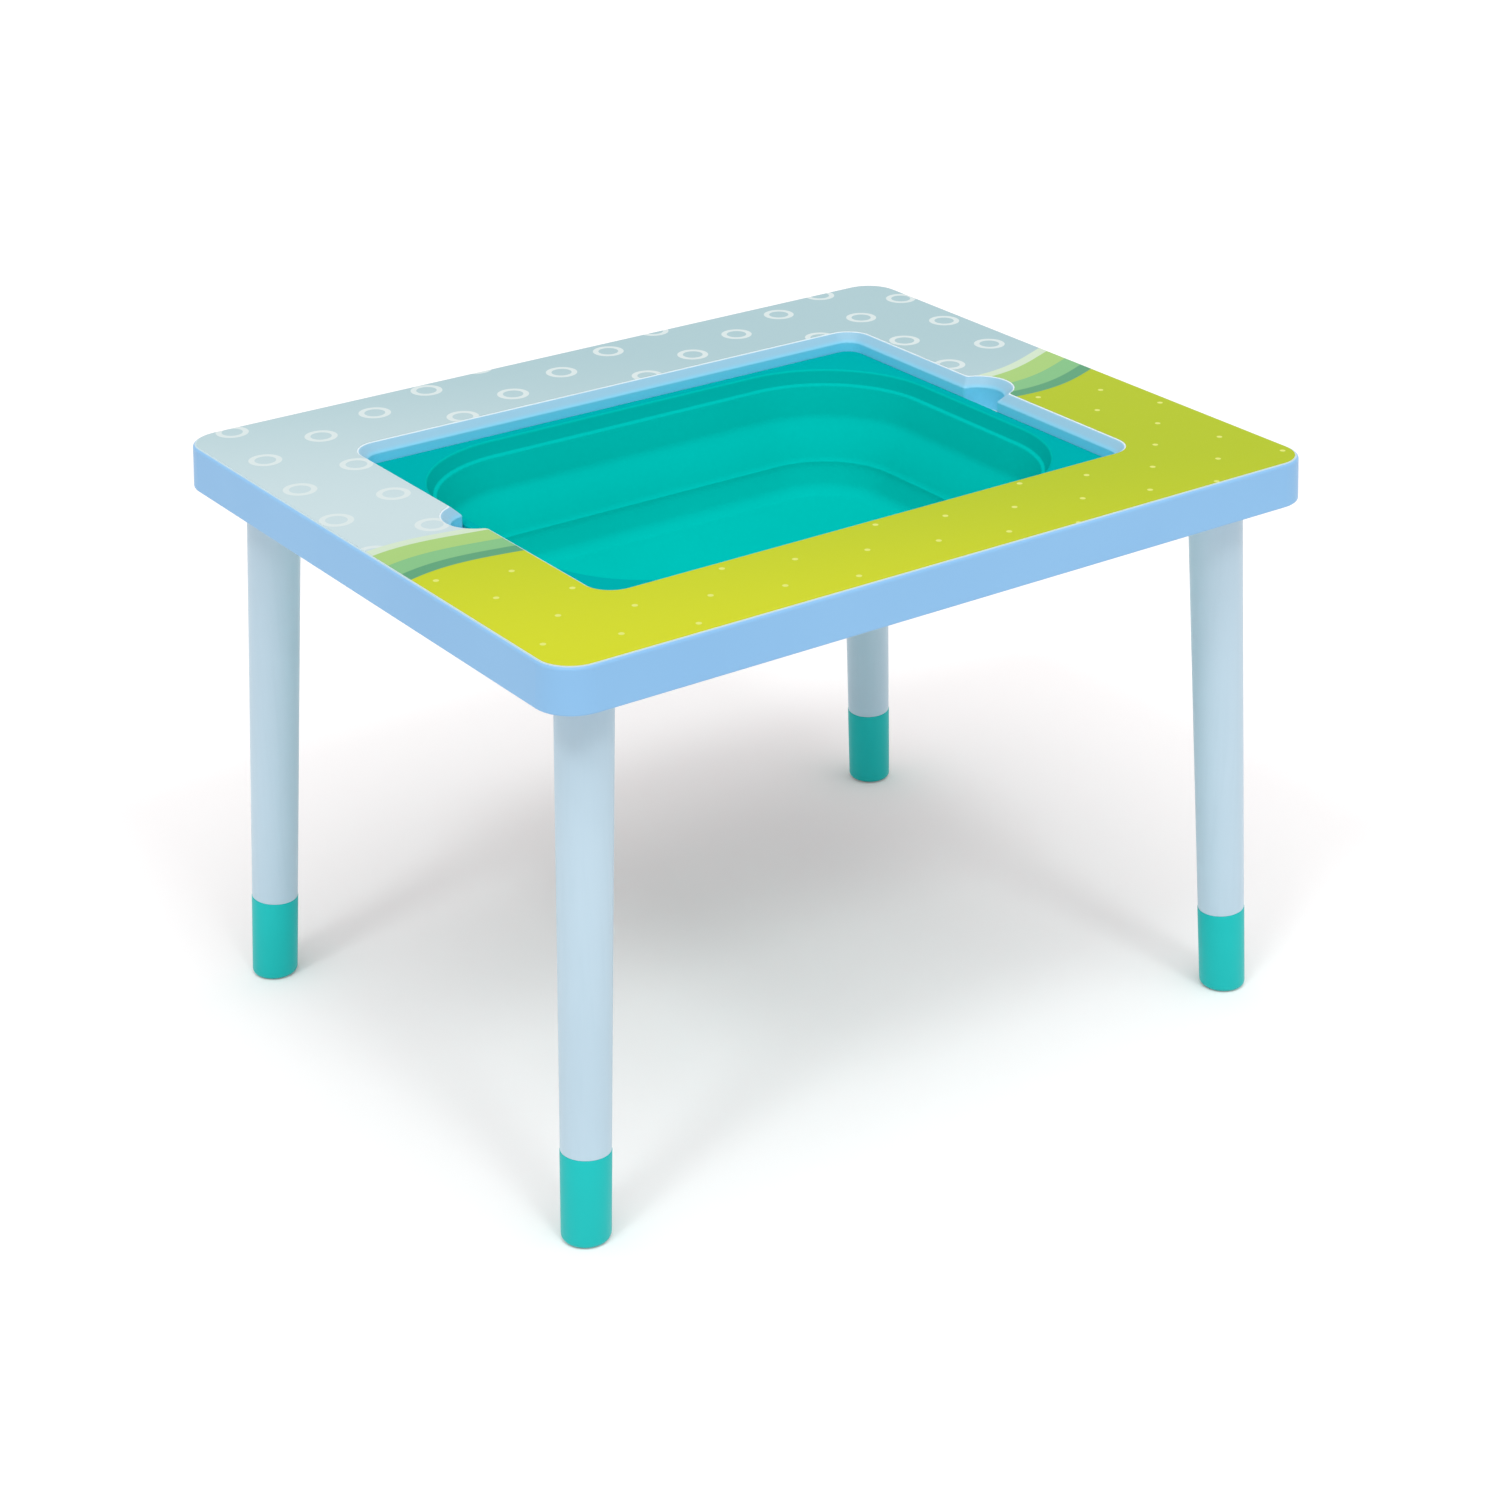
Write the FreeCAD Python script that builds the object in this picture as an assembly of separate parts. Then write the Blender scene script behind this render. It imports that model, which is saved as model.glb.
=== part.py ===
import FreeCAD, Part
import math
import os

Vector = FreeCAD.Vector

# The table stands on the floor plane, with the origin under the middle of its top.
# X runs along the long side, the front is -Y and Z is up. All sizes are millimetres.
# Length and width are measured at the deck; the skirt widens a little below it.
table_length = 660.0
table_width = 534.0
table_height = 454.0

# The moulded top: a shallow shell with a skirt, open below, and a thin printed film on its deck.
top_thickness = 34.0
top_corner = 27.5
top_edge_round = 2.4
skirt_flare = 1.8
skirt_edge_round = 1.4
shell_wall = 3.0
film_thickness = 0.4
film_margin = 2.6
film_corner = 25.0

# The opening for the bin, measured at its upright wall, with a bevelled lip around it
# and a finger notch in the middle of each short side.
end_border = 100.3
side_border = 99.3
opening_corner = 13.5
lip_bevel = 6.8
lip_top_round = 3.0
lip_foot_round = 1.5
notch_radius = 19.5
notch_reach = 18.5
notch_mouth_round = 3.0
ledge_width = 5.4
ledge_thickness = 4.5

# The panel that closes the top from below, and the screws that hold it.
panel_thickness = 2.5
panel_recess = 7.0
panel_gap = 0.4
panel_screw_inset = 44.0
long_side_screw_share = 0.17
short_side_screw_share = 0.135
boss_radius = 5.0
screw_radius = 2.0
screw_length = 15.0
screw_gap = 0.1
screw_clearance = 0.3
head_radius = 4.0
head_height = 2.4
head_slot_width = 1.0
head_slot_length = 4.6
head_slot_depth = 1.2

# The legs: turned round tapers that lean outwards, each on a steel plate with a hanger bolt.
leg_inset = 50.3
leg_lean_x = 24.0
leg_lean_y = 17.0
leg_top_radius = 20.5
leg_foot_radius = 17.75
plate_size = 66.0
plate_thickness = 3.0
plate_corner = 8.0
plate_screw_spacing = 50.0
collar_radius = 8.0
collar_height = 9.0
collar_clearance = 4.0
bolt_radius = 4.0
bolt_gap = 0.1
bolt_in_leg = 38.0
bolt_above_leg = 13.0
bolt_tip = 5.0

# The foot caps, pushed over a turned-down spigot at the end of each leg.
cap_height = 70.0
cap_wall = 2.2
cap_proud = 0.3
cap_base = 7.0
cap_gap = 0.1
foot_round = 4.5

# The folding bin. Insets are measured inwards from the opening's wall and drops
# down from the top of the table, along the inner face of the bin.
bin_wall = 2.0
bin_corner = 106.0
rim_gap = 0.7
rim_thickness = 2.0
rim_inset = 8.5
rim_drop = 14.5
step_inset = 16.0
step_width = 2.6
step_drop = 26.0
step_fall = 0.7
hip_inset = 22.0
hip_drop = 50.5
web_thickness = 1.2
crease_inset = 43.0
crease_drop = 81.0
floor_inset = 52.0
floor_drop = 105.0
floor_round = 9.0

# Cuts run past the faces they open by this much.
overrun = 1.0

# Points and edges closer than this count as meeting.
tolerance = 1e-6

half_share = 0.5
tip_share = 0.4
round_steps = 4
lip_steps = 3
bevel_turn = 45.0

opening_length = table_length - 2 * end_border
opening_width = table_width - 2 * side_border
bevel_tangent = math.tan(math.radians(bevel_turn * half_share))
lip_reach = lip_bevel + lip_top_round * bevel_tangent
leg_x = table_length * half_share - leg_inset
leg_y = table_width * half_share - leg_inset
deck_top = table_height - film_thickness
skirt_bottom = table_height - top_thickness
ledge_top = table_height - rim_drop - rim_thickness
ledge_bottom = ledge_top - ledge_thickness
panel_bottom = skirt_bottom + panel_recess
panel_top = panel_bottom + panel_thickness
plate_bottom = panel_bottom - plate_thickness
corners = {
    "front_left": (-1, -1),
    "front_right": (1, -1),
    "rear_left": (-1, 1),
    "rear_right": (1, 1),
}


def arc(centre_x, centre_y, radius, start, end, z):
    """An arc in a level plane, from one angle to another in degrees."""
    points = []
    for angle in (start, (start + end) * half_share, end):
        turn = math.radians(angle)
        points.append(Vector(centre_x + radius * math.cos(turn), centre_y + radius * math.sin(turn), z))
    return Part.Arc(*points).toShape()


def joined(edges):
    """A closed wire through the edges, with straight lines where they do not meet."""
    loop = []
    for edge, following in zip(edges, edges[1:] + edges[:1]):
        loop.append(edge)
        end = edge.Vertexes[-1].Point
        start = following.Vertexes[0].Point
        if end.distanceToPoint(start) > tolerance:
            loop.append(Part.makeLine(end, start))
    return Part.Wire(loop)


def rounded_rectangle(length, width, corner, z):
    """A level rectangle about the Z axis with round corners."""
    x = length * half_share - corner
    y = width * half_share - corner
    quarters = [(x, -y, -90), (x, y, 0), (-x, y, 90), (-x, -y, 180)]
    return joined([arc(cx, cy, corner, start, start + 90, z) for cx, cy, start in quarters])


def prism(wire, height):
    return Part.Face(wire).extrude(Vector(0, 0, height))


def rounded_block(length, width, corner, bottom, top):
    return prism(rounded_rectangle(length, width, corner, bottom), top - bottom)


def skirt_outline(inset, z):
    """The outline of the flared skirt at a height, moved inwards by the inset."""
    grow = skirt_flare * (deck_top - z) / (deck_top - skirt_bottom) - inset
    return rounded_rectangle(table_length + 2 * grow, table_width + 2 * grow, top_corner + grow, z)


def skirt_block(inset, bottom, top):
    return Part.makeLoft([skirt_outline(inset, bottom), skirt_outline(inset, top)], True, True)


def opening_outline(grow, z):
    """The opening with both finger notches, its wall moved outwards by the given amount."""
    half_length = opening_length * half_share
    corner = opening_corner + grow
    corner_x = half_length - opening_corner
    corner_y = opening_width * half_share - opening_corner
    notch = notch_radius + grow
    notch_x = half_length + notch_reach - notch_radius
    mouth_x = half_length + grow + notch_mouth_round
    mouth_y = math.sqrt((notch + notch_mouth_round) ** 2 - (mouth_x - notch_x) ** 2)
    turn = math.degrees(math.atan2(mouth_y, notch_x - mouth_x))
    right = [
        arc(corner_x, -corner_y, corner, -90, 0, z),
        arc(mouth_x, -mouth_y, notch_mouth_round, 180, turn, z),
        arc(notch_x, 0, notch, turn - 180, 180 - turn, z),
        arc(mouth_x, mouth_y, notch_mouth_round, -turn, -180, z),
        arc(corner_x, corner_y, corner, 0, 90, z),
    ]
    left = [edge.rotated(Vector(0, 0, 0), Vector(0, 0, 1), 180) for edge in right]
    return joined(right + left)


def lip_profile():
    """The lip from the upright wall up to the deck, as steps outwards and drops: a bevel with round edges."""
    points = []
    for step in range(lip_steps + 1):
        turn = math.radians(bevel_turn * (2 - step / lip_steps))
        points.append((lip_foot_round * (1 - math.sin(turn)),
                       lip_bevel + lip_foot_round * (bevel_tangent - math.cos(turn))))
    for step in range(lip_steps + 1):
        turn = math.radians(bevel_turn * (1 - step / lip_steps))
        points.append((lip_bevel + lip_top_round * (bevel_tangent - math.sin(turn)),
                       lip_top_round * (1 - math.cos(turn))))
    return points


def level_edges(shape, z):
    return [edge for edge in shape.Edges
            if abs(edge.BoundBox.ZMin - z) < tolerance and abs(edge.BoundBox.ZMax - z) < tolerance]


def ledge_hole(bottom, top):
    """The hole that the bin hangs through, inside the ledge."""
    return rounded_block(opening_length - 2 * ledge_width, opening_width - 2 * ledge_width,
                         bin_corner - ledge_width, bottom, top)


def panel_screw_places():
    """Two screws along each side of the panel, in line with the middle of the deck's border."""
    edge_x = table_length * half_share - panel_screw_inset
    edge_y = table_width * half_share - panel_screw_inset
    places = []
    for x_side, y_side in corners.values():
        places.append((x_side * table_length * long_side_screw_share, y_side * edge_y))
        places.append((x_side * edge_x, y_side * table_width * short_side_screw_share))
    return places


def plate_screw_places(x_side, y_side):
    reach = plate_screw_spacing * half_share
    return [(x_side * leg_x + dx * reach, y_side * leg_y + dy * reach) for dx, dy in corners.values()]


def all_plate_screw_places():
    places = []
    for x_side, y_side in corners.values():
        places.extend(plate_screw_places(x_side, y_side))
    return places


def top_shell():
    """Deck, skirt, collar round the opening, screw bosses, and a ledge for the bin with room for fingers."""
    shell = skirt_block(0, skirt_bottom, deck_top)
    shell = shell.makeFillet(top_edge_round, level_edges(shell, deck_top))
    shell = shell.makeFillet(skirt_edge_round, level_edges(shell, skirt_bottom))
    shell = shell.cut(skirt_block(shell_wall, skirt_bottom - overrun, deck_top - shell_wall))
    collar = prism(opening_outline(shell_wall, panel_top), deck_top - panel_top)
    backing = Part.makeLoft([opening_outline(shell_wall, deck_top - shell_wall - lip_bevel),
                             opening_outline(shell_wall + lip_bevel, deck_top - shell_wall)], True, True)
    pillars = []
    for x, y in panel_screw_places() + all_plate_screw_places():
        pillars.append(Part.makeCylinder(boss_radius, deck_top - shell_wall - panel_top + overrun,
                                         Vector(x, y, panel_top)))
    shell = shell.fuse([collar, backing] + pillars)
    well = prism(opening_outline(0, panel_top - overrun), deck_top - panel_top + 2 * overrun)
    lip = [opening_outline(grow, deck_top - drop) for grow, drop in lip_profile()]
    lip = Part.makeLoft(lip + [opening_outline(lip_reach, deck_top + overrun)], True, True)
    ledge = prism(opening_outline(shell_wall * half_share, ledge_bottom), ledge_thickness)
    ledge = ledge.cut(ledge_hole(ledge_bottom - overrun, ledge_top + overrun))
    finger_reach = notch_radius + notch_mouth_round
    finger_room = Part.makeBox(table_length, 2 * finger_reach, top_thickness,
                               Vector(-table_length * half_share, -finger_reach, skirt_bottom))
    ledge = ledge.cut(finger_room)
    shell = shell.cut([well, lip]).fuse(ledge)
    pilots = []
    for x, y in panel_screw_places():
        pilots.append(Part.makeCylinder(screw_radius + screw_gap, screw_length - panel_thickness + overrun,
                                        Vector(x, y, panel_top - overrun)))
    for x, y in all_plate_screw_places():
        depth = screw_length - panel_thickness - plate_thickness + overrun
        pilots.append(Part.makeCylinder(screw_radius + screw_gap, depth, Vector(x, y, panel_top - overrun)))
    return shell.cut(pilots).removeSplitter()


def top_film():
    """The printed film on the deck, from just inside the skirt to the edge of the lip."""
    film = rounded_block(table_length - 2 * film_margin, table_width - 2 * film_margin, film_corner,
                         deck_top, table_height)
    hole = prism(opening_outline(lip_reach, deck_top - overrun), film_thickness + 2 * overrun)
    return film.cut(hole)


def underside_panel():
    """The closing panel, with a low upstand under the ledge and holes for bolts and screws."""
    panel = skirt_block(shell_wall + panel_gap, panel_bottom, panel_top)
    rim = ledge_width - panel_thickness
    upstand = rounded_block(opening_length - 2 * rim, opening_width - 2 * rim, bin_corner - rim,
                            panel_bottom, ledge_bottom)
    panel = panel.fuse(upstand).cut(ledge_hole(panel_bottom - overrun, ledge_bottom + overrun))
    depth = panel_thickness + 2 * overrun
    holes = []
    for x, y in panel_screw_places() + all_plate_screw_places():
        holes.append(Part.makeCylinder(screw_radius + screw_clearance, depth,
                                       Vector(x, y, panel_bottom - overrun)))
    for x_side, y_side in corners.values():
        holes.append(Part.makeCylinder(collar_radius + collar_clearance, depth,
                                       Vector(x_side * leg_x, y_side * leg_y, panel_bottom - overrun)))
    return panel.cut(holes).removeSplitter()


def screw(x, y, seat):
    """A cross-slotted pan-head screw driven upwards, with its head under the seat."""
    shank = Part.makeCylinder(screw_radius, screw_length * (1 - tip_share), Vector(x, y, seat))
    tip = Part.makeCone(screw_radius, screw_radius * tip_share, screw_length * tip_share,
                        Vector(x, y, seat + screw_length * (1 - tip_share)))
    head = Part.makeCylinder(head_radius, head_height, Vector(x, y, seat - head_height))
    head = head.makeFillet(head_height * half_share, level_edges(head, seat - head_height))
    low = seat - head_height - overrun
    slots = []
    for along, across in ((head_slot_length, head_slot_width), (head_slot_width, head_slot_length)):
        slots.append(Part.makeBox(along, across, head_slot_depth + overrun,
                                  Vector(x - along * half_share, y - across * half_share, low)))
    return head.cut(slots).fuse([shank, tip]).removeSplitter()


def leg_axis(x_side, y_side):
    """The middle of the foot on the floor, the direction up the leg and the leg's length."""
    foot = Vector(x_side * (leg_x + leg_lean_x), y_side * (leg_y + leg_lean_y), 0)
    top = Vector(x_side * leg_x, y_side * leg_y, plate_bottom)
    length = foot.distanceToPoint(top)
    return foot, (top - foot) * (1 / length), length


def taper(x_side, y_side, start, end, grow):
    """A length of the leg's own taper, from start to end along its axis, thicker by grow."""
    foot, up, length = leg_axis(x_side, y_side)
    slope = (leg_top_radius - leg_foot_radius) / length
    return Part.makeCone(leg_foot_radius + slope * start + grow, leg_foot_radius + slope * end + grow,
                         end - start, foot + up * start, up)


def level_slab(bottom, height):
    return Part.makeBox(2 * table_length, 2 * table_width, height, Vector(-table_length, -table_width, bottom))


def leg(x_side, y_side):
    """A tapered leg with a flat top, a bore for the hanger bolt and a spigot for the foot cap."""
    foot, up, length = leg_axis(x_side, y_side)
    post = taper(x_side, y_side, cap_height, length + 2 * leg_top_radius, 0)
    spigot = taper(x_side, y_side, cap_base, cap_height + overrun, cap_proud - cap_wall)
    bore = Part.makeCylinder(bolt_radius + bolt_gap, bolt_in_leg + 2 * leg_top_radius,
                             foot + up * (length - bolt_in_leg), up)
    return post.fuse(spigot).cut([bore, level_slab(plate_bottom, top_thickness + 2 * leg_top_radius)])


def foot_cap(x_side, y_side):
    """A cup that covers the end of the leg and stands flat on the floor."""
    cap = taper(x_side, y_side, -cap_base, cap_height, cap_proud)
    cap = cap.cut(level_slab(-2 * cap_base, 2 * cap_base))
    cap = cap.makeFillet(foot_round, level_edges(cap, 0))
    return cap.cut(taper(x_side, y_side, cap_base, cap_height + overrun, cap_proud - cap_wall + cap_gap))


def hanger_bolt(x_side, y_side):
    """A headless bolt, pointed at the end that is driven into the leg."""
    foot, up, length = leg_axis(x_side, y_side)
    start = length - bolt_in_leg + bolt_tip
    tip = Part.makeCone(bolt_radius * tip_share, bolt_radius, bolt_tip,
                        foot + up * (length - bolt_in_leg), up)
    shank = Part.makeCylinder(bolt_radius, length + bolt_above_leg - start, foot + up * start, up)
    return shank.fuse(tip).removeSplitter()


def leg_plate(x_side, y_side):
    """A steel plate with a tapped collar that leans with the leg."""
    foot, up, length = leg_axis(x_side, y_side)
    plate = rounded_block(plate_size, plate_size, plate_corner, plate_bottom, panel_bottom)
    plate.translate(Vector(x_side * leg_x, y_side * leg_y, 0))
    collar = Part.makeCylinder(collar_radius, collar_height,
                               foot + up * (length + plate_thickness * half_share), up)
    holes = [Part.makeCylinder(bolt_radius + bolt_gap, 2 * collar_height + plate_thickness,
                               foot + up * (length - collar_height * half_share), up)]
    for x, y in plate_screw_places(x_side, y_side):
        holes.append(Part.makeCylinder(screw_radius + screw_clearance, plate_thickness + 2 * overrun,
                                       Vector(x, y, plate_bottom - overrun)))
    return plate.fuse(collar).cut(holes).removeSplitter()


def bin_outline(inset, drop):
    return rounded_rectangle(opening_length - 2 * inset, opening_width - 2 * inset, bin_corner - inset,
                             table_height - drop)


def bin_block(profile):
    """The solid inside a ring of the bin, given as insets and drops from the top down."""
    return Part.makeLoft([bin_outline(inset, drop) for inset, drop in profile], True, True)


def past_the_ends(profile):
    """The same profile, carried straight on by the overrun above and below."""
    first_inset, first_drop = profile[0]
    last_inset, last_drop = profile[-1]
    return [(first_inset, first_drop - overrun)] + profile + [(last_inset, last_drop + overrun)]


def bin_ring(profile, wall):
    """A ring of sheet with the given inner profile, closed by level faces above and below."""
    outside = bin_block([(inset - wall, drop) for inset, drop in profile])
    return outside.cut(bin_block(past_the_ends(profile)))


def bin_rim():
    """The stiff top of the bin: flange, stepped wall and the hem that the fold hangs from."""
    profile = [(rim_inset, rim_drop), (step_inset - step_width, step_drop - step_fall),
               (step_inset, step_drop), (hip_inset, hip_drop)]
    flange = rounded_block(opening_length - 2 * rim_gap, opening_width - 2 * rim_gap,
                           opening_corner - rim_gap, ledge_top, ledge_top + rim_thickness)
    outside = bin_block([(inset - bin_wall, drop) for inset, drop in profile])
    return flange.fuse(outside).cut(bin_block(past_the_ends(profile))).removeSplitter()


def bin_fold_web():
    """The soft sloping band between rim and tray, which turns inside out when the bin folds."""
    return bin_ring([(hip_inset, hip_drop), (crease_inset, crease_drop)], web_thickness)


def rounded_floor(inset, drop, radius):
    """The last points of a profile, turned through a quarter circle onto a floor."""
    points = []
    for step in range(round_steps + 1):
        turn = math.radians(90 * step / round_steps)
        points.append((inset + radius * (1 - math.cos(turn)), drop - radius * (1 - math.sin(turn))))
    return points


def bin_base_tray():
    """The stiff bottom of the bin: a shallow tray with a rounded foot."""
    inside = [(crease_inset, crease_drop)] + rounded_floor(floor_inset, floor_drop, floor_round)
    outside = [(crease_inset - bin_wall, crease_drop)]
    outside += rounded_floor(floor_inset - bin_wall, floor_drop + bin_wall, floor_round + bin_wall)
    above = [(crease_inset, crease_drop - overrun)]
    return bin_block(outside).cut(bin_block(above + inside)).removeSplitter()


os.makedirs("parts", exist_ok=True)
nodes = {
    "top_shell": top_shell(),
    "top_film": top_film(),
    "underside_panel": underside_panel(),
    "panel_screws": Part.makeCompound([screw(x, y, panel_bottom) for x, y in panel_screw_places()]),
    "plate_screws": Part.makeCompound([screw(x, y, plate_bottom) for x, y in all_plate_screw_places()]),
    "hanger_bolts": Part.makeCompound([hanger_bolt(*sides) for sides in corners.values()]),
    "bin_rim": bin_rim(),
    "bin_fold_web": bin_fold_web(),
    "bin_base_tray": bin_base_tray(),
}
for name, sides in corners.items():
    nodes["leg_plate_" + name] = leg_plate(*sides)
    nodes["leg_" + name] = leg(*sides)
    nodes["foot_cap_" + name] = foot_cap(*sides)

for name, shape in nodes.items():
    shape.exportStep(os.path.join("parts", name + ".step"))
    box = shape.BoundBox
    print(name, "solids", len(shape.Solids), "valid", shape.isValid(),
          "size", round(box.XLength, 2), round(box.YLength, 2), round(box.ZLength, 2),
          "volume", round(shape.Volume))
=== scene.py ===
import bpy
import math
from mathutils import Matrix, Vector


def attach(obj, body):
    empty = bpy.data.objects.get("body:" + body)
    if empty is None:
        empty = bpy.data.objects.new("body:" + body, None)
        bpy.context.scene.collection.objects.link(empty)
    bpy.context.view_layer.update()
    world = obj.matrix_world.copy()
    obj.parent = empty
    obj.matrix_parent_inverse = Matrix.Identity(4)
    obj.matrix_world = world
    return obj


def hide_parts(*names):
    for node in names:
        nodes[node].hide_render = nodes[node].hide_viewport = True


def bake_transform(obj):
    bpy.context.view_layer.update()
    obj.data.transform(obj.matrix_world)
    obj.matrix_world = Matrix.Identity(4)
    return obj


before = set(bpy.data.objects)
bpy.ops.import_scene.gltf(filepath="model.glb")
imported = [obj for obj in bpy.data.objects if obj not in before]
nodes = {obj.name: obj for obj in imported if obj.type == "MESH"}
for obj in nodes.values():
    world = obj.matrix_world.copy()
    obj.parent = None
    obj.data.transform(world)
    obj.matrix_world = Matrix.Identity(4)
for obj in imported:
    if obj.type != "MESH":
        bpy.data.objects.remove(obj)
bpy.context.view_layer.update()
bpy.ops.object.select_all(action="DESELECT")


# The top shell is one injection moulding in light blue polypropylene: deck, skirt, a bevelled lip
# round the opening, and the collar and ledge that carry the bin. It has a fine satin spark texture.
# In the opening, the lip and the wall under it are tinted towards teal as painted bounce light from
# the bin, and a painted highlight runs as a pale line along the shell's rounded edges beside the film.
class Value:
    """A shader socket that takes part in Python sums; each sum adds a Math node."""

    def __init__(self, maker, socket):
        self.maker = maker
        self.socket = socket

    def maths(self, operation, *others):
        return self.maker.add("ShaderNodeMath", 0, dict(enumerate((self, *others))), operation=operation)

    def __add__(self, other):
        return self.maths("ADD", other)

    def __sub__(self, other):
        return self.maths("SUBTRACT", other)

    def __mul__(self, other):
        return self.maths("MULTIPLY", other)

    def __pow__(self, other):
        return self.maths("POWER", other)

    def __rsub__(self, other):
        return self * -1 + other

    def __abs__(self):
        return self.maths("ABSOLUTE")

    __radd__ = __add__
    __rmul__ = __mul__

    def most(self, other):
        return self.maths("MAXIMUM", other)

    def sine(self):
        return self.maths("SINE")

    def whole(self):
        return self.maths("FLOOR")

    def part(self):
        return self.maths("FRACT")

    def steps(self, low, high):
        """0 below low, 1 above high and a smooth rise between; it falls where low is the larger."""
        ends = {"From Min": min(low, high), "From Max": max(low, high),
                "To Min": float(low > high), "To Max": float(low < high)}
        return self.maker.add("ShaderNodeMapRange", "Result", {"Value": self, **ends},
                              interpolation_type="SMOOTHSTEP")


class Nodes:
    """A node tree, and the one way to add to it."""

    def __init__(self, tree):
        self.tree = tree

    def join(self, value, socket):
        if isinstance(value, Value):
            self.tree.links.new(value.socket, socket)
        else:
            socket.default_value = value

    def add(self, kind, output, sockets=None, **settings):
        """Adds a node: its settings first, then the values or links of its sockets."""
        node = self.tree.nodes.new(kind)
        for name, value in settings.items():
            setattr(node, name, value)
        for name, value in (sockets or {}).items():
            self.join(value, node.inputs[name])
        return Value(self, node.outputs[output])


class Finish(Nodes):
    """A material in the making: its shader, and the place on the piece in metres."""

    def __init__(self, name, roughness, specular=0.5):
        self.material = bpy.data.materials.new(name)
        self.material.use_nodes = True
        super().__init__(self.material.node_tree)
        self.give("Roughness", roughness)
        self.give("Specular IOR Level", specular)
        self.place = self.add("ShaderNodeTexCoord", "Object")
        self.x = self.add("ShaderNodeSeparateXYZ", "X", {"Vector": self.place})
        self.y = self.add("ShaderNodeSeparateXYZ", "Y", {"Vector": self.place})
        self.z = self.add("ShaderNodeSeparateXYZ", "Z", {"Vector": self.place})

    def give(self, socket, value):
        """Sets or links a socket of the shader."""
        self.join(value, self.tree.nodes["Principled BSDF"].inputs[socket])

    def noise(self, scale, detail=2.0, stretch=None):
        place = self.place
        if stretch:
            place = self.add("ShaderNodeMapping", "Vector", {"Vector": place, "Scale": stretch})
        return self.add("ShaderNodeTexNoise", "Fac", {"Vector": place, "Scale": scale, "Detail": detail})

    def mix(self, share, first, second):
        """A colour between two others, with this share of the second."""
        return self.add("ShaderNodeMix", 2, {0: share, 6: first, 7: second}, data_type="RGBA")

    def bump(self, height, strength, distance):
        sockets = {"Height": height, "Strength": strength, "Distance": distance}
        self.give("Normal", self.add("ShaderNodeBump", "Normal", sockets))


def srgb(red, green, blue):
    """A colour given in screen values from 0 to 255."""
    linear = []
    for value in (red, green, blue):
        share = value / 255
        linear.append(share / 12.92 if share < 0.04045 else ((share + 0.055) / 1.055) ** 2.4)
    return (*linear, 1.0)


def moulded(name, light, dark, roughness, specular=0.5):
    """Satin moulded plastic: a slow drift of colour and a fine even spark texture."""
    finish = Finish(name, roughness, specular)
    drift = finish.noise(scale=7.0, detail=3.0)
    spark = finish.noise(scale=2600.0, detail=1.0)
    finish.colour = finish.mix(drift.steps(0.3, 0.7), light, dark)
    finish.give("Base Color", finish.colour)
    finish.give("Roughness", spark * 0.08 + drift * 0.06 + (roughness - 0.07))
    finish.bump(spark, strength=0.25, distance=0.00003)
    return finish


def wear(piece, finish):
    """Puts a finish on a piece in place of what it has."""
    piece.data.materials.clear()
    piece.data.materials.append(finish.material)


deck = 0.454
shell = moulded("shell_blue", srgb(142, 193, 236), srgb(139, 190, 234), roughness=0.4, specular=0.35)
at_opening = abs(shell.x).steps(0.262, 0.258) * abs(shell.y).steps(0.182, 0.178)
below_lip = at_opening * shell.z.steps(deck - 0.0040, deck - 0.0095)
beside_film = shell.z.steps(deck - 0.00066, deck - 0.00054)
# Painted light: the lip and the wall under it are tinted towards teal, as painted bounce light from the
# bin.
blue = shell.mix(at_opening, shell.colour, srgb(150, 197, 222))
blue = shell.mix(below_lip, blue, srgb(118, 219, 255))
# Painted highlight: a pale line on the top of the shell's rounded edges beside the film.
painted_highlight_line = shell.mix(at_opening, srgb(190, 214, 222), srgb(226, 238, 244))
shell.give("Base Color", shell.mix(beside_film, blue, painted_highlight_line))
wear(nodes["top_shell"], shell)


# The printed film is laminated on the deck from just inside the skirt to the lip, and its cut edge
# is white. Its print is a plain pattern: rings on a pale blue field, slanting wavy stripes in greens,
# and flecks on a lime field.
def from_cell_middle(film, pitch, turn):
    """How far a place is from the middle of its cell, with square cells in staggered, turned rows."""
    column = film.x * (math.cos(turn) / pitch) + film.y * (math.sin(turn) / pitch)
    row = film.y * (math.cos(turn) / pitch) - film.x * (math.sin(turn) / pitch)
    staggered = column + row.whole() * 0.5
    return ((staggered.part() - 0.5) ** 2 + (row.part() - 0.5) ** 2) ** 0.5 * pitch


film = Finish("film_print", roughness=0.36, specular=0.05)
ring_reach = from_cell_middle(film, pitch=0.062, turn=0.35)
rings = ring_reach.steps(0.0127, 0.0123) * ring_reach.steps(0.0078, 0.0082)
flecks = from_cell_middle(film, pitch=0.047, turn=0.8).steps(0.0023, 0.0019)
frontward = film.x * -0.6 - film.y
print_colour = film.mix(frontward.steps(-0.3, 0.15), srgb(167, 196, 202), srgb(195, 214, 218))
print_colour = film.mix(rings, print_colour, srgb(212, 224, 224))
ripple = (film.x * 27.0 + film.y * 6.0 + 0.7).sine() * 0.011
wave = film.y + 0.052 - film.x * 0.1 + ripple
stripes = {0.060: srgb(204, 222, 196), 0.051: srgb(163, 201, 116),
           0.030: srgb(126, 187, 128), 0.012: srgb(86, 156, 114)}
for edge, green in stripes.items():
    print_colour = film.mix(wave.steps(edge + 0.0003, edge - 0.0003), print_colour, green)
lime = film.mix(frontward.steps(0.02, 0.46), srgb(174, 191, 6), srgb(204, 210, 20))
lime = film.mix(flecks, lime, srgb(220, 226, 120))
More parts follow.
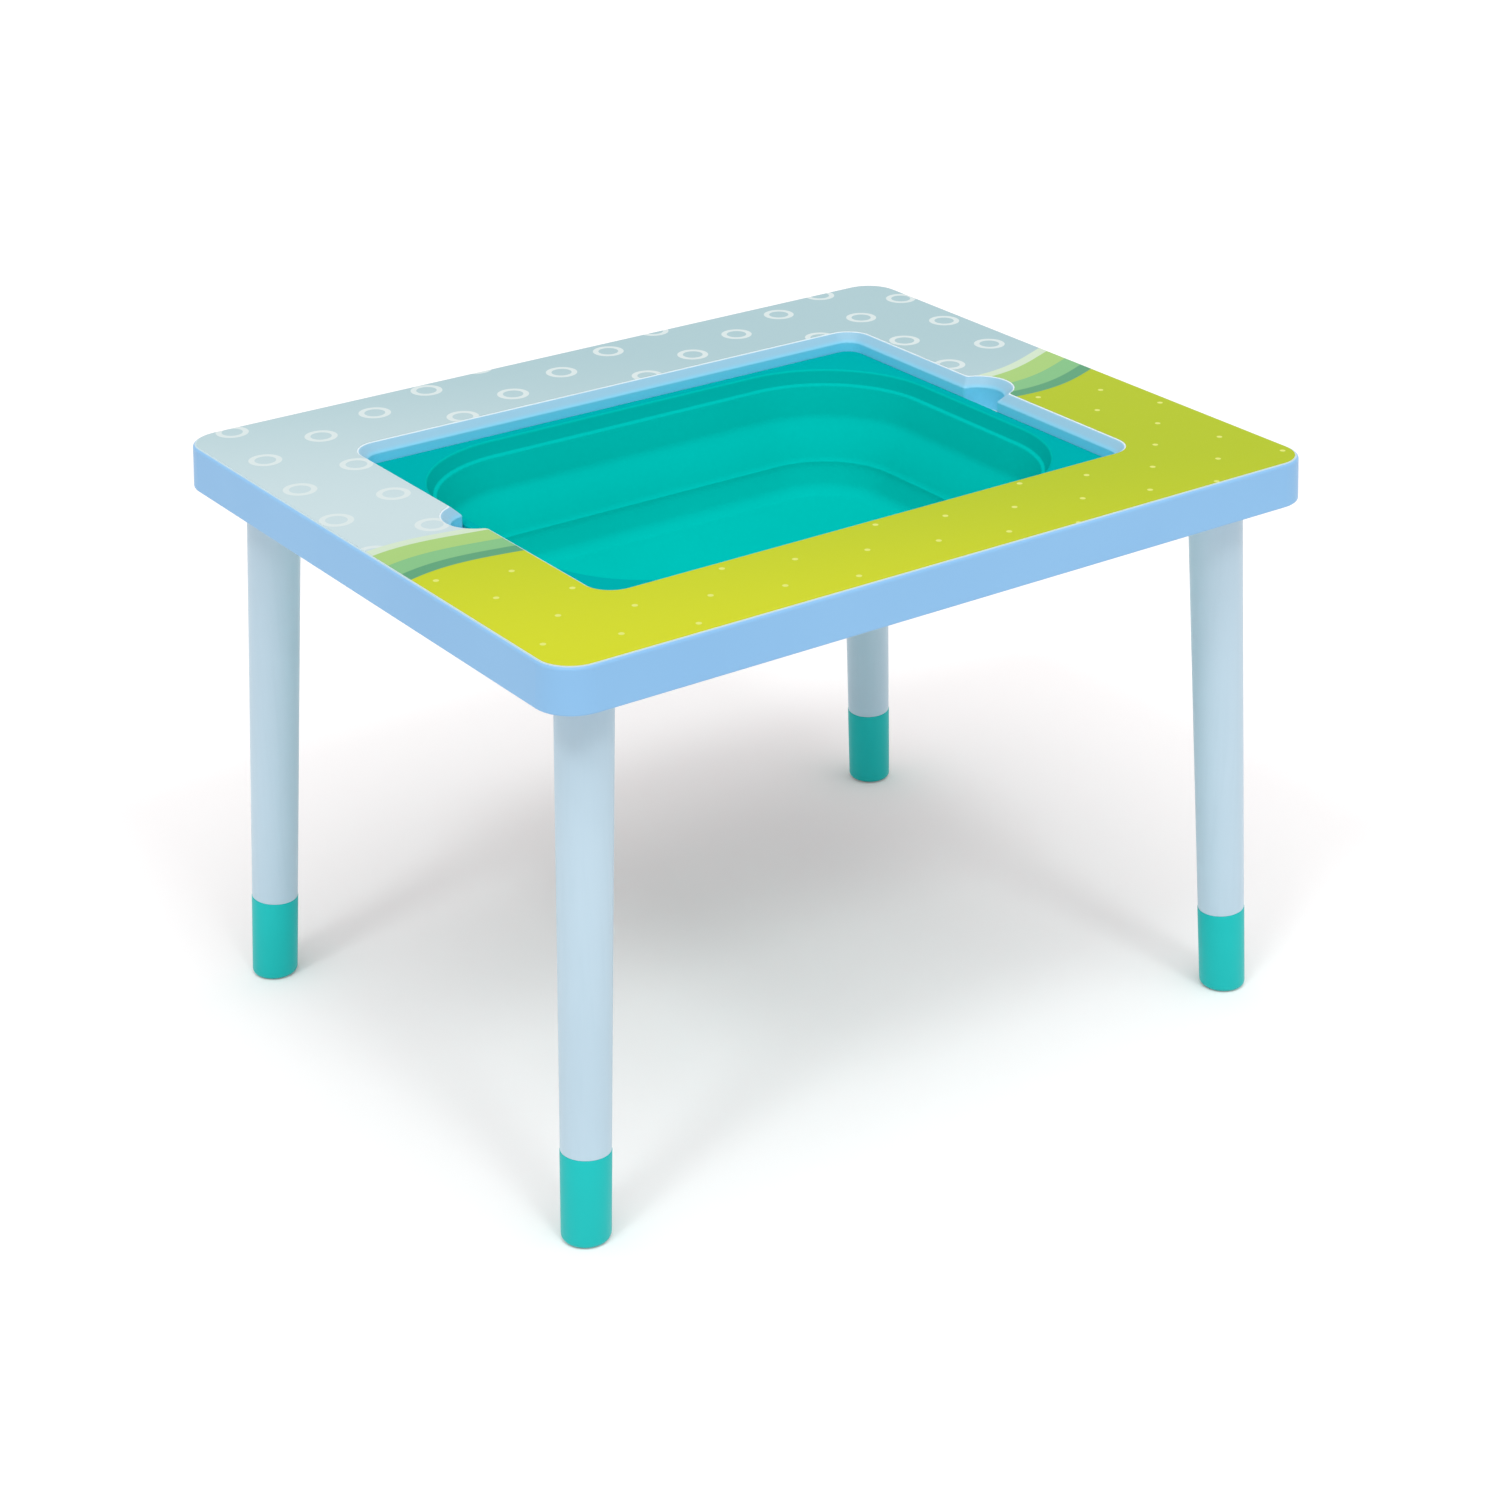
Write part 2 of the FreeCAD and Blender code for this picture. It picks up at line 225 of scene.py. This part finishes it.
print_colour = film.mix(wave.steps(0.0003, -0.0003), print_colour, lime)
cut_edge = film.z.steps(deck - 0.00005, deck - 0.0002)
film.give("Base Color", film.mix(cut_edge, print_colour, srgb(238, 242, 242)))
sheen = film.noise(scale=900.0, detail=1.0)
film.give("Roughness", sheen * 0.1 + film.noise(scale=2.2) * 0.06 + 0.28)
film.bump(sheen, strength=0.15, distance=0.00003)
wear(nodes["top_film"], film)


# The underside panel is a plain off-white moulding that closes the shell from below.
# Eight cross-slotted, zinc-plated screws pull it up against bosses in the shell.
wear(nodes["underside_panel"],
     moulded("panel_white", srgb(228, 229, 229), srgb(223, 224, 225), roughness=0.55))

zinc = Finish("zinc_plate", roughness=0.35)
bloom = zinc.noise(scale=160.0, detail=3.0)
zinc.give("Metallic", 1.0)
zinc.give("Base Color", zinc.mix(bloom, srgb(178, 181, 184), srgb(205, 207, 208)))
zinc.give("Roughness", bloom * 0.2 + 0.25)
zinc.bump(bloom, strength=0.2, distance=0.00005)
wear(nodes["panel_screws"], zinc)


# Each leg hangs from a zinc-plated steel plate with a tapped, leaning collar. Four screws go
# through the plate and panel into the shell, and a hanger bolt joins plate and leg.
corners = {"front_left": (-1, -1), "front_right": (1, -1), "rear_left": (-1, 1), "rear_right": (1, 1)}
wear(nodes["plate_screws"], zinc)
wear(nodes["hanger_bolts"], zinc)
for corner in corners:
    wear(nodes["leg_plate_" + corner], zinc)


# Each leg is a turned beech taper that leans outwards, sprayed pale blue and rubbed smooth, so that
# only a trace of the grain shows. Its top is bored for the hanger bolt, and its turned-down end is
# pressed into the foot cap.
foot = Vector((0.3037, 0.2337, 0.0))
leg_top = Vector((0.2797, 0.2167, 0.424))
leg_length = (leg_top - foot).length
axis = (leg_top - foot).normalized()
foot_radius = 0.01775
top_radius = 0.0205
cap_height = 0.070
level_slack = 0.0001


def taper(name, start, end, grow):
    """A length of the leg's taper on its own leaning axis, thicker by grow, left in edit mode."""
    rise = (top_radius - foot_radius) / leg_length
    bpy.ops.mesh.primitive_cone_add(
        vertices=128, radius1=foot_radius + rise * start + grow, radius2=foot_radius + rise * end + grow,
        depth=end - start, location=foot + axis * (start + end) / 2,
        rotation=axis.to_track_quat("Z", "Y").to_euler())
    piece = bpy.context.object
    piece.name = name
    bpy.ops.object.transform_apply()
    bpy.ops.object.mode_set(mode="EDIT")
    bpy.ops.mesh.select_all(action="SELECT")
    return piece


def select(piece, kind, wanted):
    """Selects in edit mode the faces or edges whose middle passes the test."""
    bpy.ops.mesh.select_mode(type=kind)
    bpy.ops.mesh.select_all(action="DESELECT")
    bpy.ops.object.mode_set(mode="OBJECT")
    points = piece.data.vertices
    for item in piece.data.edges if kind == "EDGE" else piece.data.polygons:
        ends = [points[number].co for number in item.vertices]
        item.select = bool(wanted(sum(ends, Vector()) / len(ends)))
    bpy.ops.object.mode_set(mode="EDIT")


def up_the_leg(place):
    """How far up the leg's axis a place is."""
    return (place - foot).dot(axis)


def at_cap_top(place):
    """True at the level where the leg meets its foot cap."""
    return abs(up_the_leg(place) - cap_height) < level_slack


def at_cap_brim(place):
    """True on the outer edge at the level where the leg meets its foot cap."""
    return at_cap_top(place) and (place - foot - axis * cap_height).length > foot_radius


def sink(inset, depth):
    """Steps the selected end face inwards and pushes it down the leg's axis."""
    bpy.ops.mesh.inset(thickness=inset)
    bpy.ops.mesh.extrude_region_move(TRANSFORM_OT_translate={"value": axis * -depth})


def only(piece):
    """Selects one piece alone, in object mode."""
    bpy.ops.object.select_all(action="DESELECT")
    piece.select_set(True)
    bpy.context.view_layer.objects.active = piece


def smooth(piece):
    """Leaves edit mode and shades the piece smooth, apart from its sharp edges."""
    bpy.ops.object.mode_set(mode="OBJECT")
    only(piece)
    bpy.ops.object.shade_smooth_by_angle(angle=math.radians(35))


def at_corners(first, stem):
    """Four copies of a piece of the rear right corner, each mirrored into its own mesh."""
    copies = {}
    for corner, (x_side, y_side) in corners.items():
        piece = first.copy()
        piece.data = first.data.copy()
        piece.name = stem + corner
        bpy.context.scene.collection.objects.link(piece)
        only(piece)
        piece.scale = (x_side, y_side, 1)
        bpy.ops.object.transform_apply()
        bpy.ops.object.mode_set(mode="EDIT")
        bpy.ops.mesh.select_all(action="SELECT")
        bpy.ops.mesh.normals_make_consistent(inside=False)
        bpy.ops.object.mode_set(mode="OBJECT")
        copies[corner] = piece
    bpy.data.objects.remove(first)
    return copies


leg = taper("turned_leg", start=cap_height, end=leg_length + 0.05, grow=0.0)
bpy.ops.mesh.bisect(plane_co=(0, 0, leg_top.z), plane_no=(0, 0, 1), use_fill=True, clear_outer=True)
select(leg, "FACE", lambda place: abs(place.z - leg_top.z) < level_slack)
sink(inset=0.0164, depth=0.038)
select(leg, "FACE", at_cap_top)
sink(inset=0.0019, depth=0.06)
select(leg, "EDGE", at_cap_brim)
bpy.ops.mesh.bevel(offset=0.0005, segments=3)
smooth(leg)

paint = Finish("leg_paint", roughness=0.38)
grain = paint.noise(scale=260.0, detail=3.0, stretch=(1, 1, 0.04))
sprayed = paint.mix(paint.noise(scale=9.0).steps(0.3, 0.7), srgb(195, 219, 234), srgb(192, 216, 231))
paint.give("Base Color", paint.mix(grain.steps(0.45, 0.75) * 0.25, sprayed, srgb(186, 212, 227)))
paint.give("Roughness", grain * 0.1 + 0.33)
paint.bump(grain, strength=0.12, distance=0.0001)
for corner, piece in at_corners(leg, "turned_leg_").items():
    wear(piece, paint)
    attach(piece, "table")
    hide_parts("leg_" + corner)


# Each foot cap is a soft teal cup, moulded a little wider than the leg and pushed over its end.
# Its sole is cut level with the floor and has a round edge.
cap = taper("foot_cap", start=-0.02, end=cap_height, grow=0.0003)
bpy.ops.mesh.bisect(plane_co=(0, 0, 0), plane_no=(0, 0, 1), use_fill=True, clear_inner=True)
select(cap, "FACE", at_cap_top)
sink(inset=0.0021, depth=0.0625)
select(cap, "EDGE", lambda place: place.z < level_slack / 2)
bpy.ops.mesh.bevel(offset=0.0045, segments=6)
select(cap, "EDGE", at_cap_brim)
bpy.ops.mesh.bevel(offset=0.0006, segments=3)
smooth(cap)
cap_teal = moulded("cap_teal", srgb(16, 195, 192), srgb(10, 190, 187), roughness=0.42, specular=0.25)
for corner, piece in at_corners(cap, "foot_cup_").items():
    wear(piece, cap_teal)
    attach(piece, "table")
    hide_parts("foot_cap_" + corner)


# The bin hangs in the opening by its rim, a stiff teal moulding: a flat flange that lies on the
# ledge, a short stepped wall, and a sloping skirt that turns over a soft hip. Each line of the bin
# is given by its inset from the opening's wall and its drop below the deck.
opening_length = 0.4594
opening_width = 0.3354
bin_corner = 0.106
flange_drop = 0.0145
flange_foot = (0.0085, flange_drop)
step_foot = (0.0134, 0.0253)
step_end = (0.0160, 0.0260)
hip = (0.0220, 0.0505)


def bin_sheet(name, inset, drop, corner):
    """A level sheet with round corners, left in edit mode and selected."""
    bpy.ops.mesh.primitive_plane_add(size=1, location=(0, 0, deck - drop))
    sheet = bpy.context.object
    sheet.name = name
    sheet.scale = (opening_length - 2 * inset, opening_width - 2 * inset, 1)
    bpy.ops.object.transform_apply()
    bpy.ops.object.mode_set(mode="EDIT")
    bpy.ops.mesh.select_all(action="SELECT")
    bpy.ops.mesh.bevel(offset=corner, segments=28, affect="VERTICES")
    bpy.ops.mesh.select_mode(type="FACE")
    bpy.ops.mesh.select_all(action="SELECT")
    return sheet


def bin_wall(name, profile):
    """A bin wall inside its first line, with one inset step to each line after it."""
    inset, drop = profile[0]
    wall = bin_sheet(name, inset, drop, bin_corner - inset)
    for next_inset, next_drop in profile[1:]:
        bpy.ops.mesh.inset(thickness=next_inset - inset, depth=drop - next_drop)
        inset, drop = next_inset, next_drop
    return wall


def fold(share):
    """A line on the fold's bulging slope, from 0 at the hip to 1 just above the crease."""
    bulge = 0.0048 * share * (1 - share)
    return hip[0] + 0.0199 * share + 0.833 * bulge, hip[1] + 0.0299 * share - 0.554 * bulge


def inset_of(place):
    """How far inside the opening's wall a place on the bin lies."""
    beyond_x = abs(place.x) - opening_length / 2 + bin_corner
    beyond_y = abs(place.y) - opening_width / 2 + bin_corner
    if beyond_x > 0 and beyond_y > 0:
        return bin_corner - math.hypot(beyond_x, beyond_y)
    return bin_corner - max(beyond_x, beyond_y)


def at_drop(place, drop):
    """True at the given drop below the deck."""
    return abs(place.z - deck + drop) < 0.00002


def soften(piece, inset, drop, offset, segments):
    """Rounds one line of a bin wall."""
    select(piece, "EDGE", lambda place: at_drop(place, drop) and abs(inset_of(place) - inset) < 0.0002)
    bpy.ops.mesh.bevel(offset=offset, segments=segments)


def thicken(piece, thickness):
    """Gives the sheet its thickness on the side away from the bin's inside."""
    bpy.ops.object.mode_set(mode="OBJECT")
    bpy.context.view_layer.objects.active = piece
    solid = piece.modifiers.new("thickness", "SOLIDIFY")
    solid.thickness = thickness
    solid.use_even_offset = True
    bpy.ops.object.modifier_apply(modifier=solid.name)
    bpy.ops.object.mode_set(mode="EDIT")


rim = bin_wall("bin_rim_moulding", [flange_foot, step_foot, step_end, hip, fold(0.2)])
bpy.ops.mesh.delete(type="FACE")
bpy.ops.object.mode_set(mode="OBJECT")
bin_sheet("flange_edge", inset=0.0007, drop=flange_drop, corner=0.0128)
bpy.ops.mesh.delete(type="ONLY_FACE")
bpy.ops.object.mode_set(mode="OBJECT")
rim.select_set(True)
bpy.context.view_layer.objects.active = rim
bpy.ops.object.join()
bpy.ops.object.mode_set(mode="EDIT")
select(rim, "EDGE", lambda place: at_drop(place, flange_drop))
bpy.ops.mesh.bridge_edge_loops()
bpy.ops.mesh.select_all(action="SELECT")
bpy.ops.mesh.normals_make_consistent(inside=False)
bpy.ops.object.mode_set(mode="OBJECT")
faces_down = sum(face.normal.z * face.area for face in rim.data.polygons) < 0
bpy.ops.object.mode_set(mode="EDIT")
if faces_down:
    bpy.ops.mesh.flip_normals()
soften(rim, *hip, offset=0.0030, segments=5)
soften(rim, *step_end, offset=0.0008, segments=3)
soften(rim, *step_foot, offset=0.0008, segments=3)
soften(rim, *flange_foot, offset=0.0012, segments=4)
thicken(rim, 0.002)
smooth(rim)

bin_teal = moulded("bin_teal", srgb(0, 190, 182), srgb(0, 187, 179), roughness=0.42, specular=0.0)
# Painted shade: the flange and the short stepped wall under it are a darker teal than the rest of the
# bin.
flange_painted_shade = bin_teal.z.steps(deck - 0.0149, deck - 0.0146)
step_painted_shade = bin_teal.z.steps(deck - 0.0250, deck - 0.0244) * bin_teal.z.steps(deck - 0.0156, deck - 0.0164)
teal = bin_teal.mix(flange_painted_shade, bin_teal.colour, srgb(0, 171, 170))
bin_teal.give("Base Color", bin_teal.mix(step_painted_shade, teal, srgb(0, 174, 168)))
wear(rim, bin_teal)
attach(rim, "bin")
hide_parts("bin_rim")


# The fold web is a thin band of soft teal elastomer moulded onto the rim and the tray.
# It turns inside out when the bin is folded flat.
crease = (0.0430, 0.0810)
crease_foot = (0.0431, 0.0830)
tray_top = (0.0442, 0.0860)
slope = [fold(step / 10) for step in range(2, 11)]
web = bin_wall("bin_fold_band", [*slope, crease, crease_foot, tray_top])
bpy.ops.mesh.delete(type="FACE")
soften(web, *crease, offset=0.0005, segments=3)
thicken(web, 0.0012)
smooth(web)
wear(web, moulded("web_teal", srgb(0, 191, 183), srgb(0, 188, 180), roughness=0.45, specular=0.0))
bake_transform(web)
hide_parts("bin_fold_web")


# The base tray is a stiff teal moulding: a low wall that carries on from the foot of the fold web,
# and a floor with a generous round all the way round.
tray_floor = (0.0520, 0.1050)
tray = bin_wall("bin_tray_moulding", [tray_top, tray_floor])
soften(tray, *tray_floor, offset=0.0090, segments=8)
thicken(tray, 0.002)
smooth(tray)
wear(tray, bin_teal)
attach(tray, "bin_base")
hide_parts("bin_base_tray")


# The floor is a wide white sheet that runs out of sight, under a white dome and three soft lamps.
# The camera sees both nearly white, with the table's soft grey shadow on the floor.
def seen_or_mirrored(tree):
    """1 for what the camera sees, also in a glossy or clear surface, and 0 for bounced light."""
    seen = tree.add("ShaderNodeLightPath", "Is Camera Ray")
    seen = seen.most(tree.add("ShaderNodeLightPath", "Is Glossy Ray"))
    return seen.most(tree.add("ShaderNodeLightPath", "Is Transmission Ray"))


bpy.ops.mesh.primitive_plane_add(size=30, location=(0, 0, 0))
floor = bpy.context.object
floor.name = "studio_floor"
white = Finish("studio_white", roughness=0.9, specular=0.0)
seen = seen_or_mirrored(white)
white.give("Base Color", white.mix(seen, (0.93, 0.93, 0.93, 1), (0.916, 0.989, 0.988, 1)))
white.give("Emission Color", white.mix(seen, (0, 0, 0, 1), (0.125, 0.017, 0.017, 1)))
white.give("Emission Strength", 1.0)
wear(floor, white)

world = bpy.data.worlds.new("studio")
bpy.context.scene.world = world
world.use_nodes = True
dome = Nodes(world.node_tree)
backdrop = world.node_tree.nodes["Background"].inputs
dome.join((1, 1, 1, 1), backdrop["Color"])
dome.join(seen_or_mirrored(dome) * 0.44 + 0.56, backdrop["Strength"])

lamps = {"overhead_light": (1.17, 56, (0.14, 0.29, -0.94)),
         "left_light": (0.37, 11, (0.56, 0.22, -0.80)),
         "front_light": (0.34, 11, (0.03, 0.62, -0.78))}
for name, (energy, angle, direction) in lamps.items():
    sun = bpy.data.lights.new(name, "SUN")
    sun.energy = energy
    sun.angle = math.radians(angle)
    lamp = bpy.data.objects.new(name, sun)
    bpy.context.scene.collection.objects.link(lamp)
    lamp.rotation_euler = Vector(direction).to_track_quat("-Z", "Y").to_euler()


# The camera stands off the front left corner and looks down on the top.
# Its place, turn and lens give the photograph's view; the focal length is in the photograph's pixels.
photo_width = 1500
focal_length = 3180.48
eye = bpy.data.cameras.new("camera")
camera = bpy.data.objects.new("camera", eye)
bpy.context.scene.collection.objects.link(camera)
eye.sensor_width = 36.0
eye.lens = focal_length / photo_width * eye.sensor_width
right = Vector((0.81518, -0.57916, -0.00711))
up = Vector((0.25715, 0.35088, 0.90042))
turn = Matrix((right, up, right.cross(up))).transposed()
camera.matrix_world = Matrix.Translation((-1.28579, -1.83122, 1.28372)) @ turn.to_4x4()
bpy.context.scene.camera = camera
bpy.context.scene.view_settings.view_transform = "Standard"
